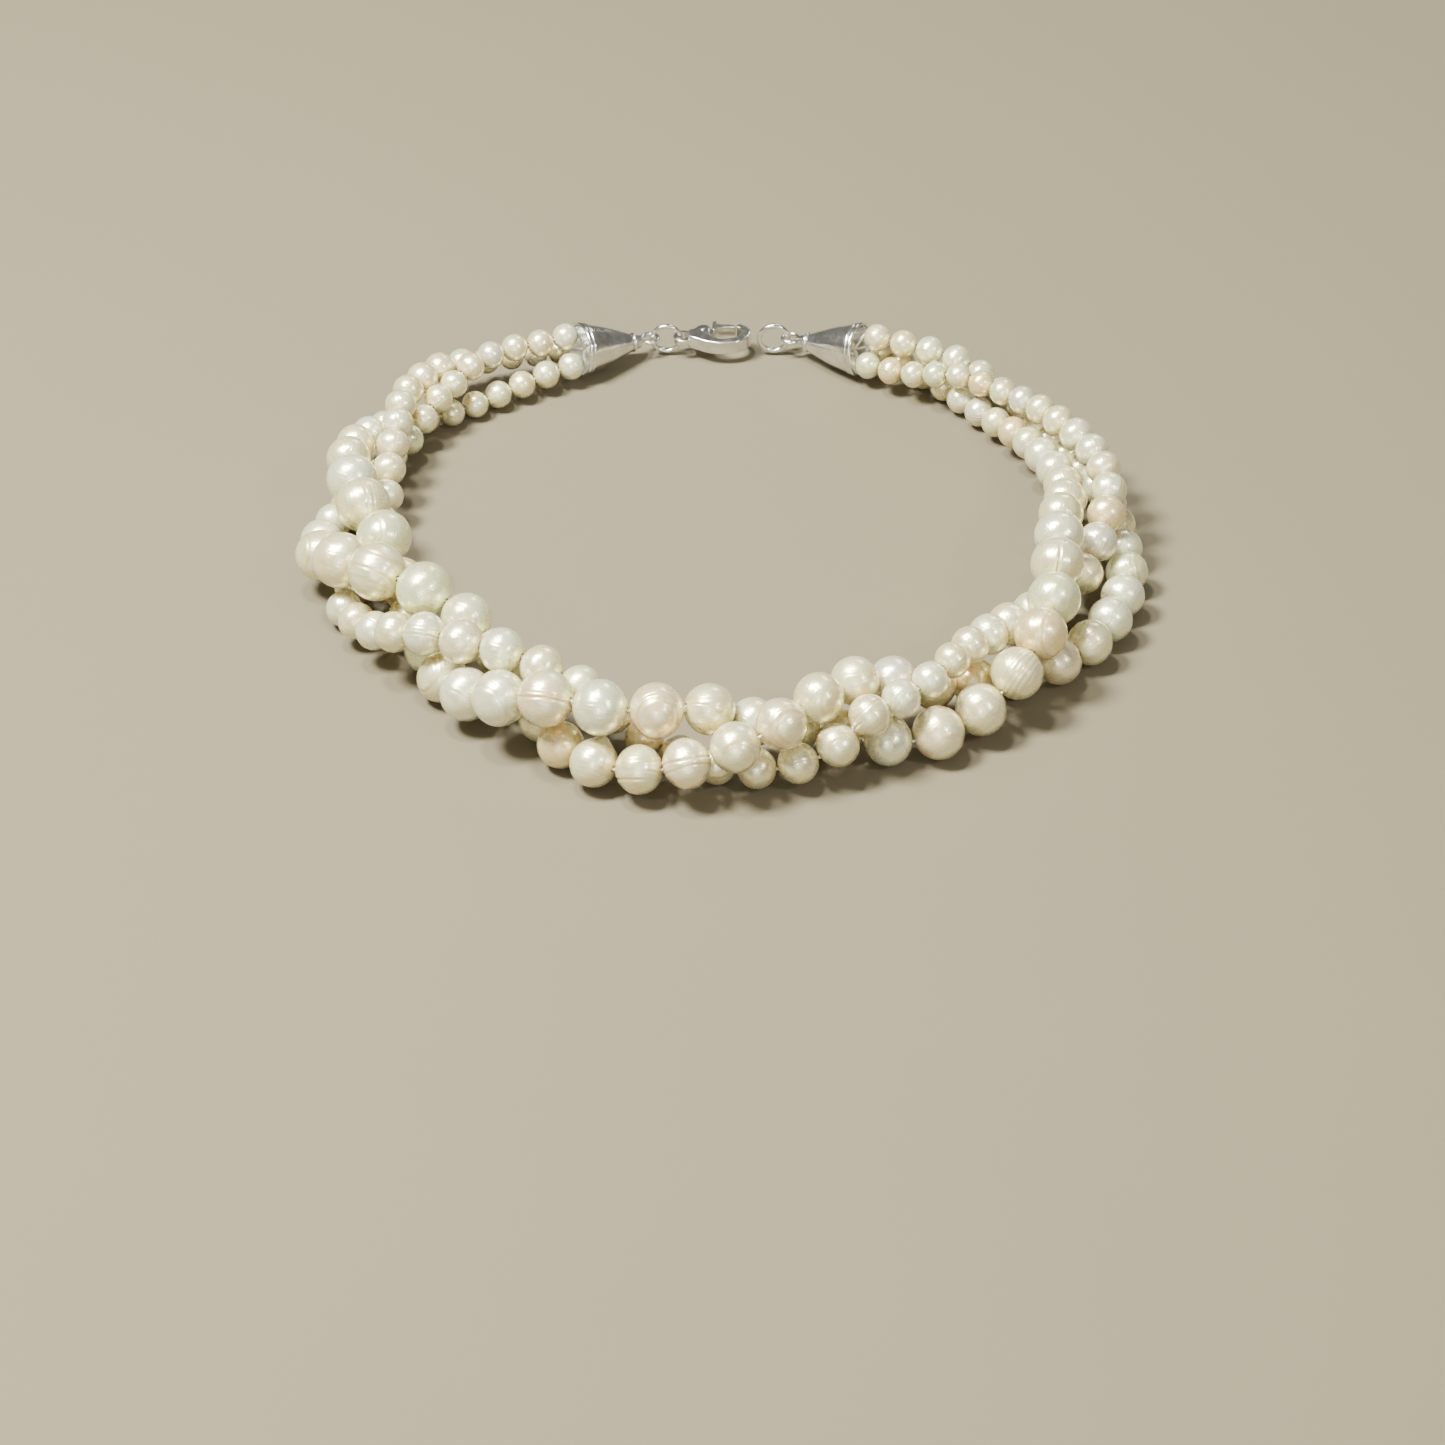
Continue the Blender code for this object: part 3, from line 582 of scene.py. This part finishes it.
def look_of(strand, number, rng):
    """A pearl's tone, gloss, grooves and mesh: stated above, or drawn by lot."""
    tone = rng.choice(list(TONES), p=TONE_SHARES)
    gloss = rng.uniform(0.4, 1.0)
    turn = rng.uniform(-60, 60)
    count = rng.choice([0, 1, 2, 3, 4], p=GROOVE_SHARES)
    offsets = np.sort(rng.uniform(-0.7, 0.7, count))
    grooves = [(offset, (FINE, PLAIN)[rng.integers(2)]) for offset in offsets]
    mesh = MESH_SIZES[len(grooves) > 0]
    if (strand, number) in LOOKS:
        tone, gloss, turn, grooves = LOOKS[strand, number]
        mesh = FRONT_MESH_SIZES[len(grooves) > 0]
    return {
        "mesh": mesh,
        "tone": str(tone),
        "gloss": gloss,
        "turn": turn,
        "grooves": [(offset, *shape) for offset, shape in grooves],
        "peak": PEAKS.get((strand, number), 0.0),
    }


def link_body(link):
    """The name of the body that holds a link, from 0 at the left end to the last at the right."""
    if link == FRONT:
        return "front_link"
    return f"rope_left_{FRONT - link}" if link < FRONT else f"rope_right_{link - FRONT}"


PLY_DENT = 0.16  # share of the radius between the plies of a thread
THREAD_TWIST = 4.5  # radians of lay to a mm
THREAD_STEP = 0.18
END_HELD = 1.5  # mm of a thread's end inside the last pearl


def tube(path, radius, sides=12, twist=0.0):
    """A round wire or thread along a path, closed at both ends, with the lay of its plies."""
    path = np.array(path, float)
    along = np.gradient(path, axis=0)
    along /= np.linalg.norm(along, axis=1)[:, None]
    length = np.concatenate([[0], np.cumsum(np.linalg.norm(np.diff(path, axis=0), axis=1))])
    side = np.cross(along[0], (0.3, 0.2, 1.0))
    points = []
    angle = 2 * np.pi * np.arange(sides) / sides
    for at, way, far in zip(path, along, length):
        side = side - way * side.dot(way)
        side /= np.linalg.norm(side)
        up = np.cross(way, side)
        ply = radius * (1 - PLY_DENT * np.abs(np.sin(angle - twist * far)) ** 3)
        round_line = np.cos(angle)[:, None] * side - np.sin(angle)[:, None] * up
        points.append(at + ply[:, None] * round_line)
    faces = grid_faces(len(path), sides, False).tolist()
    end = (len(path) - 1) * sides
    faces += [list(range(sides)), list(range(end, end + sides))[::-1]]
    return np.concatenate(points), faces


def resampled(path, step):
    """Points along a polyline, no further apart than step."""
    path = np.array(path, float)
    far = np.concatenate([[0], np.cumsum(np.linalg.norm(np.diff(path, axis=0), axis=1))])
    at = np.linspace(0, far[-1], max(2, math.ceil(far[-1] / step) + 1))
    return np.stack([np.interp(at, far, path[:, k]) for k in range(3)], 1)


def add_thread(name, path, paint):
    points, faces = tube(resampled(path, THREAD_STEP), THREAD_R, twist=THREAD_TWIST)
    made = mesh_piece(name, points, faces, paint)
    return made


def add_thread_end(strand, left, leave, way, paint):
    """The end of a thread, from the last pearl's drill hole into the knot inside the cone."""
    side = "left" if left else "right"
    mouth, inward = cone_line(left)
    radial = leave - mouth
    radial -= inward * radial.dot(inward)
    gather = mouth + THREAD_IN * inward + THREAD_APART * radial / np.linalg.norm(radial)
    knot = mouth + (KNOT_AT - 0.5 * KNOT_HALF) * inward
    route = smooth_path([leave - END_HELD * way, leave, gather, knot], 10)
    made = add_thread(f"{strand}_thread_end_{side}", route, paint)
    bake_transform(made)


def add_strand(strand, centre, size, cuts, paint):
    """The pearls of one strand, the thread in each link and the thread that crosses each joint."""
    along = directions(centre)
    entry = centre - along * size[:, None] / 2
    leave = centre + along * size[:, None] / 2
    first = [0] + [k + 1 for k in cuts]
    last = list(cuts) + [len(centre) - 1]
    for link, (a, b) in enumerate(zip(first, last)):
        body = link_body(link)
        node = f"{strand}_run_{link + 1:02d}"
        for k in range(a, b + 1):
            rng = np.random.default_rng([STRANDS.index(strand), k])
            pearl = add_pearl(
                f"{strand}_pearl_{k + 1:02d}", centre[k], along[k], size[k],
                look_of(strand, k, rng), rng,
            )
            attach(pearl, body)
            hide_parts(node)
        path = [p for k in range(a, b + 1) for p in (entry[k], centre[k], leave[k])]
        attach(add_thread(f"{strand}_thread_{link + 1:02d}", path[1:-1], paint), body)
        if link + 1 < LINKS:
            path = [centre[b], leave[b], entry[b + 1], centre[b + 1]]
            bridge = add_thread(f"{strand}_thread_joint_{link + 1:02d}", path, paint)
            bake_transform(bridge)
    for left, outer, way in ((True, entry[0], -along[0]), (False, leave[-1], along[-1])):
        add_thread_end(strand, left, outer, way, paint)


# ---- Findings ------------------------------------------------------------------------------


def smooth_path(path, steps, closed=False):
    """A smooth curve through a path's points, with some steps from each point to the next."""
    path = np.array(path, float)
    if closed:
        path = np.concatenate([path[-1:], path, path[:2]])
    else:
        path = np.concatenate([2 * path[:1] - path[1:2], path, 2 * path[-1:] - path[-2:-1]])
    t = (np.arange(steps) / steps)[None, :, None]
    a, b, c, d = (path[k : len(path) - 3 + k, None] for k in range(4))
    curve = b + 0.5 * t * (c - a + t * (2 * a - 5 * b + 4 * c - d + t * (3 * (b - c) + d - a)))
    curve = curve.reshape(-1, path.shape[1])
    return curve if closed else np.concatenate([curve, path[-2:-1]])


def mirrored(vector, left):
    """A vector given for the right end, turned to the left end."""
    return np.array(vector, float) * (np.array([-1, 1, 1]) if left else 1)


def cone_line(left):
    """The middle of a cone's mouth, and the way from there to its tip."""
    way = np.array(CONE_DIR)
    way /= np.linalg.norm(way)
    mouth = np.array(ROPE_END) + CONE_GAP * way
    return mirrored(mouth, left) + SHIFT, mirrored(way, left)


def cone_flat(left):
    """The cone's way on the level, and the way across it."""
    flat = cone_line(left)[1] * np.array([1, 1, 0])
    flat /= np.linalg.norm(flat)
    return flat, np.array([-flat[1], flat[0], 0])


def finding(name, points, faces, paint, body, slot="silver", sharp=None):
    """A piece that stands for the CAD node of the same name."""
    made = mesh_piece(f"{name}_fine", points, faces, paint)
    if sharp is not None:
        made.data.set_sharp_from_angle(angle=math.radians(sharp))
    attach(made, body)
    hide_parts(name)
    return made


def lathe(profile, start, way, sides=96):
    """A closed profile of (distance along, radius) turned round a line."""
    side = np.cross(way, (0, 0, 1.0))
    side /= np.linalg.norm(side)
    up = np.cross(side, way)
    turn = 2 * np.pi * np.arange(sides) / sides
    round_line = np.cos(turn)[:, None] * side + np.sin(turn)[:, None] * up
    points = [start + way * t + radius * round_line for t, radius in profile]
    return np.concatenate(points), grid_faces(len(profile), sides, True)


def bead(middle, width, height, steps=8):
    """A turned bead on a lathe profile: points over a half round."""
    turn = np.linspace(math.pi, 0, steps)
    return [(middle[0] + width * math.cos(a), middle[1] + height * math.sin(a)) for a in turn]


# A cone's profile: distance from the mouth and radius. A bead also has its half width and height.
CONE_BELL = [(1.75, 4.82), (3.9, 4.25), (6.5, 3.5), (9.0, 2.55), (10.9, 1.8)]
RIM_BEAD = (0.45, CONE_MOUTH_R - 0.28), 0.45, 0.28
SECOND_BEAD = (1.25, CONE_MOUTH_R - 0.35), 0.28, 0.2
COLLAR_BEAD = (11.4, 1.62), 0.35, 0.28


def add_cone(left, paint, body):
    """A spun end cone: a rolled rim, a turned bead, a flared bell and a collar near the tip."""
    start, way = cone_line(left)
    bell = smooth_path(CONE_BELL, 8)
    outer = bead(*RIM_BEAD) + bead(*SECOND_BEAD, 6) + bell.tolist() + bead(*COLLAR_BEAD, 7)
    outer += [(12.0, 1.42), (12.7, CONE_TIP_R + 0.05), (12.9, CONE_TIP_R), (CONE_LENGTH, 1.1)]
    inner = [(CONE_LENGTH, CONE_HOLE_R + 0.1), (12.8, CONE_HOLE_R), (11.05, CONE_HOLE_R + 0.2)]
    inner += [(t, r - CONE_WALL) for t, r in bell[::-4].tolist()]
    inner += [(0.5, CONE_MOUTH_R - CONE_WALL - 0.15), (0.1, CONE_MOUTH_R - CONE_WALL)]
    name = "end_cone_left" if left else "end_cone_right"
    finding(name, *lathe(outer + inner, start, way), paint, body, sharp=50)


def eye_centre(left):
    """The middle of the eye outside a cone, where the chain of findings starts."""
    start, way = cone_line(left)
    tip = start + way * (CONE_LENGTH + EYE_CLEAR)
    return np.array([*(tip + cone_flat(left)[0] * EYE_R)[:2], CHAIN_Z])


def add_eye_pin(left, paint, body):
    """A pin along the cone's line: a small eye for the threads inside, a larger one outside."""
    start, way = cone_line(left)
    flat, across = cone_flat(left)
    centre = eye_centre(left)
    turns = np.radians(np.linspace(180, -140, 22))
    eye = [centre + EYE_R * (math.cos(a) * flat + math.sin(a) * across) for a in turns]
    middle = start + way * HOOK_AT + across * HOOK_R
    turns = np.radians(np.linspace(-340, -90, 14))
    hook = [middle + HOOK_R * (math.cos(a) * way + math.sin(a) * across) for a in turns]
    shank = [start + way * t for t in SHANK]
    name = "eye_pin_left" if left else "eye_pin_right"
    path = smooth_path(hook + shank + eye, 4)
    finding(name, *tube(path, WIRE_R, 20), paint, body, sharp=60)


def add_knot(left, paint, body):
    """The threads' knot: a closed overhand knot, twice round the cone's line, drawn tight."""
    start, way = cone_line(left)
    _, across = cone_flat(left)
    up = np.cross(way, across)
    turn = np.linspace(0, 4 * np.pi, 140)
    out = 0.72 * KNOT_R + 0.34 * np.cos(1.5 * turn)
    far = KNOT_AT + 0.75 * KNOT_HALF * np.sin(1.5 * turn)
    side = np.cos(turn)[:, None] * across + np.sin(turn)[:, None] * up
    path = start + far[:, None] * way + out[:, None] * side
    name = "thread_knot_left" if left else "thread_knot_right"
    finding(name, *tube(path, KNOT_THREAD_R, 14, THREAD_TWIST), paint, body, "silk")


def add_ring(name, middle, paint, body, split):
    """An upright ring, with split ends that meet at the top, or else soldered there."""
    half_cut = math.radians(RING_CUT)
    turn = np.linspace(half_cut, 2 * math.pi - half_cut, RING_STEPS) + math.pi / 2
    path = [middle + RING_R * np.array([math.cos(a), 0, math.sin(a)]) for a in turn]
    if split:
        finding(name, *tube(path, RING_WIRE_R, 24), paint, body, sharp=60)
        return
    sides = 24
    around = 2 * math.pi * np.arange(sides) / sides
    points = []
    for a in 2 * math.pi * np.arange(RING_STEPS) / RING_STEPS:
        seam = SEAM_RISE * math.exp(-((math.sin(a / 2 - math.pi / 4) / SEAM_REACH) ** 2))
        out = np.array([math.cos(a), 0, math.sin(a)])
        wire = RING_WIRE_R + seam
        reach = RING_R + wire * np.cos(around)
        points.append(middle + reach[:, None] * out + np.outer(wire * np.sin(around), (0, 1, 0)))
    finding(name, np.concatenate(points), grid_faces(RING_STEPS, sides, True), paint, body)


def chain_points():
    """The middles of the jump ring on the left and of the end ring on the right."""
    hang = np.array([EYE_R - WIRE_R - RING_WIRE_R - RING_PLAY, 0, 0])
    ring = np.array([RING_R, 0, 0])
    return eye_centre(True) + hang + ring, eye_centre(False) - hang - ring


# The clasp lies flat. Its outlines are in mm from the middle of its tail eye, the nose at +X.
CLASP_BODY = [
    (1.0, 1.0), (2.0, 1.5), (2.7, 2.4), (3.8, 2.9), (4.9, 2.5), (5.2, 1.6), (5.1, 0.3), (5.3, -0.7),
    (6.0, -1.6), (7.4, -2.1), (9.2, -1.8), (10.6, -0.9), (11.2, 0.3), (11.0, 1.5), (10.25, 2.2),
    (10.6, 3.1), (11.8, 2.6), (12.8, 1.4), (13.0, 0.0), (12.1, -2.0), (10.2, -3.2), (7.5, -3.6),
    (5.0, -3.3), (2.8, -2.2), (1.0, -1.0),
]
LEVER_HEAD = [
    (4.6, 0.5), (3.7, 0.2), (2.9, 0.6), (2.7, 1.3), (3.0, 2.0), (3.7, 2.3), (4.9, 2.9), (6.0, 3.0),
    (6.0, 1.7), (5.3, 1.2),
]
LEVER_ARM = [
    (5.6, 1.5), (5.6, 4.1), (6.1, 4.5), (6.6, 4.2), (6.8, 3.5), (8.4, 3.4), (9.9, 3.0), (9.9, 2.35),
    (8.4, 2.4), (6.9, 2.1),
]


def extruded(outline, low, high):
    """The points and faces of an outline's prism between two levels."""
    outline = np.array(outline, float)
    count = len(outline)
    points = [(*p, z) for z in (low, high) for p in outline.tolist()]
    faces = [list(range(count))[::-1], list(range(count, 2 * count))]
    faces += [[i, (i + 1) % count, count + (i + 1) % count, count + i] for i in range(count)]
    return points, faces


def disc(x, y, radius, sides=64):
    turn = 2 * np.pi * np.arange(sides) / sides
    return np.stack([x + radius * np.cos(turn), y + radius * np.sin(turn)], 1)


def rounded(solid, width):
    """A solid with its sharp edges rounded, as a mesh object."""
    made = mesh_piece("blank", *solid, None)
    if width:
        edges = made.modifiers.new("edges", "BEVEL")
        edges.width = width * MM
        edges.segments = 5
        edges.limit_method = "ANGLE"
        edges.angle_limit = math.radians(50)
    return made


def carved(solid, width, joined, cut):
    """The points in mm and the faces of a rounded solid with others joined on and cut out."""
    base = rounded(solid, width)
    tools = [(rounded(other, wide), "UNION") for other, wide in joined]
    tools += [(rounded(other, 0), "DIFFERENCE") for other in cut]
    for tool, operation in tools:
        step = base.modifiers.new(operation.lower(), "BOOLEAN")
        step.operation = operation
        step.object = tool
    seen = base.evaluated_get(bpy.context.evaluated_depsgraph_get())
    mesh = seen.to_mesh()
    points = [np.array(v.co) / MM for v in mesh.vertices]
    faces = [list(face.vertices) for face in mesh.polygons]
    seen.to_mesh_clear()
    for used in [base] + [tool for tool, _ in tools]:
        bpy.data.objects.remove(used)
    return np.array(points), faces


def outlined(outline):
    """An outline as a smooth closed curve."""
    return smooth_path(outline, 6, closed=True)


def add_clasp(tail, paint):
    """The claw, its lever, the pin that the lever turns on and the spring that shuts it."""
    half = CLASP_THICK / 2
    _, tail_r, tail_half, tail_hole = CLASP_TAIL
    slot = extruded(CLASP_SLOT, -CLASP_SLOT_HALF, CLASP_SLOT_HALF)
    bore = extruded(disc(*LEVER_PIN, CLASP_PIN_HOLE_R, 32), -CUTTER_HALF, CUTTER_HALF)
    eye = extruded(disc(0, 0, tail_r), -tail_half, tail_half), TAIL_EDGE
    hole = extruded(disc(0, 0, tail_hole), -CUTTER_HALF, CUTTER_HALF)
    claw = extruded(outlined(CLASP_BODY), -half, half)
    points, faces = carved(claw, CLASP_EDGE, [eye], [hole, slot, bore])
    finding("clasp_body", points + tail, faces, paint, "clasp", sharp=35)

    head = extruded(outlined(LEVER_HEAD), *LEVER_HEAD_Z), 0
    arm = extruded(outlined(LEVER_ARM), -LEVER_HALF, LEVER_HALF)
    bore = extruded(disc(*LEVER_PIN, LEVER_BORE_R, 32), -CUTTER_HALF, CUTTER_HALF)
    points, faces = carved(arm, LEVER_EDGE, [head], [bore])
    finding("clasp_lever", points + tail, faces, paint, "lever", sharp=35)

    pin = [(-half - 0.1, 0.02), (-half - 0.08, 0.28), (-half, CLASP_PIN_R), (half, CLASP_PIN_R)]
    pin += [(half + 0.08, 0.28), (half + 0.1, 0.02)]
    pivot = tail + (*LEVER_PIN, 0)
    nearly_up = np.array([0, 0, 1.0]) + 1e-6  # lathe takes no line that is quite upright
    points, faces = lathe(pin, pivot, nearly_up, 32)
    finding("clasp_pin", points, faces, paint, "clasp", sharp=50)

    coil = []
    for a in np.radians(np.linspace(-150, 300, 76)):
        rise = SPRING_Z + SPRING_HEIGHT * (a + math.radians(150)) / math.radians(450)
        coil.append(pivot + (SPRING_R * math.cos(a), SPRING_R * math.sin(a), rise))
    finding("clasp_spring", *tube(coil, SPRING_WIRE_R, 10), paint, "clasp", sharp=60)


def add_findings(silver, thread):
    for left, body in ((True, "cone_left"), (False, "cone_right")):
        add_cone(left, silver, body)
        add_eye_pin(left, silver, body)
        add_knot(left, thread, body)
    jump, end = chain_points()
    add_ring("jump_ring", jump, silver, "jump_link", True)
    add_ring("end_ring", end, silver, "end_link", False)
    add_clasp(jump + (RING_R + CLASP_TAIL[0], 0, 0), silver)


# ---- Stage ---------------------------------------------------------------------------------


FLOOR_COLOUR = (0.145, 0.120, 0.073)
FLOOR_HALF = 6  # m
FLOOR_DROP = 0.0002  # m under the pearls, so that none lies in it


def floor_paint():
    """A matt floor with a faint, wide mottling."""
    made = Nodes("floor")
    speck = made.noise(made.place((1, 1, 1)), 0.02, 3.0)
    low = tuple(0.97 * c for c in FLOOR_COLOUR)
    made.put(made.shader.inputs["Base Color"], made.mix(speck, (*low, 1), (*FLOOR_COLOUR, 1)))
    made.fixed(Roughness=0.8)
    return made.material


def add_floor():
    mesh = bpy.data.meshes.new("floor")
    corners = [(-1, -1), (1, -1), (1, 1), (-1, 1)]
    points = [(FLOOR_HALF * x, FLOOR_HALF * y, 0) for x, y in corners]
    mesh.from_pydata(points, [], [(0, 1, 2, 3)])
    mesh.materials.append(floor_paint())
    floor = bpy.data.objects.new("floor", mesh)
    floor.location.z = -FLOOR_DROP
    bpy.context.scene.collection.objects.link(floor)


def aim(thing, at, target):
    """Puts a camera or a lamp at a place in metres, looking at a target."""
    way = np.array(target, float) - np.array(at, float)
    way /= np.linalg.norm(way)
    side = np.cross(way, (0, 0, 1))
    side /= np.linalg.norm(side)
    up = np.cross(side, way)
    rows = [(side[k], up[k], -way[k], at[k]) for k in range(3)]
    thing.matrix_world = Matrix([*rows, (0, 0, 0, 1)])


DAYLIGHT = (0.975, 1.0, 0.94)
WORLD_COLOUR = (1.0, 0.96, 0.88, 1)
WORLD_STRENGTH = 0.18

# Each lamp's name, the way to it, its distance and width in metres, and its power in watts.
LAMPS = [
    ("sky", (-0.1, -0.1, 1.0), 1.5, 1.8, 3),
    ("key", (-0.466, -0.096, 0.880), 1.0, 0.26, 40),
    ("key_high", (-0.178, 0.0, 0.984), 1.0, 0.14, 11),
    ("second", (0.57, -0.52, 0.63), 1.1, 0.10, 4),
    ("third", (-0.1, -0.9, 0.42), 1.1, 0.08, 1.2),
    ("front", (0.0, -1.0, 0.45), 1.3, 1.2, 6),
    ("back", (0.3, 0.8, 0.6), 1.2, 0.3, 2),
]


def add_lamp(name, way, distance, size, power):
    """A round lamp that shines at the middle of the necklace."""
    light = bpy.data.lights.new(name, "AREA")
    light.shape = "DISK"
    light.size = size
    light.energy = power
    light.color = DAYLIGHT
    lamp = bpy.data.objects.new(name, light)
    bpy.context.scene.collection.objects.link(lamp)
    way = np.array(way, float)
    aim(lamp, way / np.linalg.norm(way) * distance, (0, 0, 0))


CAMERA_FAR = 0.9  # m
CAMERA_RISE = math.radians(37)
CAMERA_TARGET = np.array([0.0, -0.0595, 0.0086])  # m, in the middle of the necklace's front
CAMERA_LENS = 130.4  # mm, on a film of this width
CAMERA_FILM = 36


def add_camera():
    data = bpy.data.cameras.new("camera")
    data.sensor_width = CAMERA_FILM
    data.lens = CAMERA_LENS
    camera = bpy.data.objects.new("camera", data)
    bpy.context.scene.collection.objects.link(camera)
    back = np.array([0, -math.cos(CAMERA_RISE), math.sin(CAMERA_RISE)])
    aim(camera, CAMERA_TARGET + CAMERA_FAR * back, CAMERA_TARGET)
    bpy.context.scene.camera = camera


def add_studio():
    world = bpy.data.worlds.new("studio")
    bpy.context.scene.world = world
    world.use_nodes = True
    background = world.node_tree.nodes["Background"]
    background.inputs["Color"].default_value = WORLD_COLOUR
    background.inputs["Strength"].default_value = WORLD_STRENGTH
    for lamp in LAMPS:
        add_lamp(*lamp)


add_camera()
add_studio()
add_floor()

thread = silk()
for index, (strand, (centre, size)) in enumerate(lay_out().items()):
    add_strand(strand, centre, size, [cut[index] for cut in CUTS], thread)
add_findings(polished_silver(), thread)
